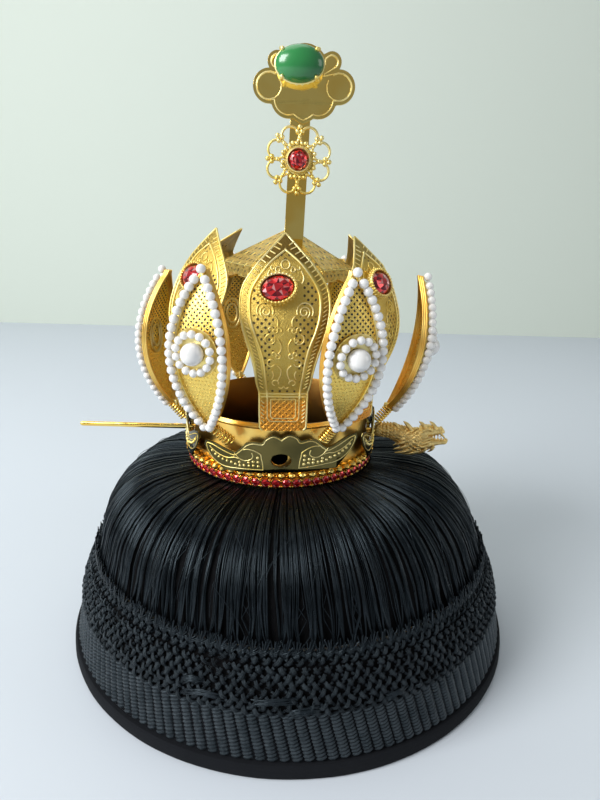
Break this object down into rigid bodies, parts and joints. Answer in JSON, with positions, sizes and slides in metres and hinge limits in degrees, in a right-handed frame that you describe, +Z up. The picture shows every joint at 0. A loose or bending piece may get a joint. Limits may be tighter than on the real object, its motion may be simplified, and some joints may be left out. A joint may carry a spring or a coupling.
{
  "type": "taoist lotus crown with horsehair cap and hairpin",
  "caption": "Gilt lotus crown of stamped petals, with pearl-edged outer petals on springs, red stones and a dragon hairpin, set on a black horsehair cap.",
  "frame": {"origin": "on the surface that the cap rests on, in the middle of the object's box, which is the middle of the cap's rim from front to back", "axes": "+Z up, -Y to the front, +X to the wearer's left, which is the hairpin's head"},
  "size_m": [0.2252, 0.2342, 0.2776],
  "materials": {
    "black_felt": "matte felt edging",
    "black_cord": "wound and knotted waxed cord",
    "horsehair": "long combed glossy strands",
    "polished_gold": "polished gilt",
    "etched_gold": "etched and pierced gilt sheet",
    "cast_gold": "cast gilt, dark in its folds",
    "pearl": "pearl lustre",
    "red_glass": "faceted, foiled back",
    "green_stone": "polished cabochon"
  },
  "bodies": {
    "headdress": {"cap_edging": "black_felt", "cap_cord_band": "black_cord", "cap_knotted_net": "black_cord", "cap_hair": "horsehair", "crown_ring": "polished_gold", "stone_trim": "polished_gold", "collar_front": "polished_gold", "collar_right": "polished_gold", "collar_back": "polished_gold", "collar_left": "polished_gold", "inner_petal_1": "etched_gold", "petal_stone_1": "red_glass", "inner_petal_2": "etched_gold", "petal_stone_2": "red_glass", "inner_petal_3": "etched_gold", "petal_stone_3": "red_glass", "inner_petal_4": "etched_gold", "petal_stone_4": "red_glass", "inner_petal_5": "etched_gold", "petal_stone_5": "red_glass", "inner_petal_6": "etched_gold", "petal_stone_6": "red_glass", "roof": "etched_gold", "finial_strap": "polished_gold", "filigree_flower": "polished_gold", "flower_stone": "red_glass", "cloud_plate": "polished_gold", "cabochon": "green_stone", "outer_petal_front_left": "etched_gold", "pearl_edge_front_left": "pearl", "pearl_ring_front_left": "pearl", "big_pearl_front_left": "pearl", "outer_petal_front_right": "etched_gold", "pearl_edge_front_right": "pearl", "pearl_ring_front_right": "pearl", "big_pearl_front_right": "pearl", "outer_petal_right": "etched_gold", "pearl_edge_right": "pearl", "pearl_ring_right": "pearl", "big_pearl_right": "pearl", "outer_petal_back_right": "etched_gold", "pearl_edge_back_right": "pearl", "pearl_ring_back_right": "pearl", "big_pearl_back_right": "pearl", "outer_petal_back_left": "etched_gold", "pearl_edge_back_left": "pearl", "pearl_ring_back_left": "pearl", "big_pearl_back_left": "pearl", "outer_petal_left": "etched_gold", "pearl_edge_left": "pearl", "pearl_ring_left": "pearl", "big_pearl_left": "pearl"},
    "pin": {"hairpin": "cast_gold"}
  },
  "joints": [
    {"name": "pin_slide", "type": "slide", "parent": "headdress", "child": "pin", "axis": [1, 0, 0], "range_m": [0, 0.165]}
  ]
}
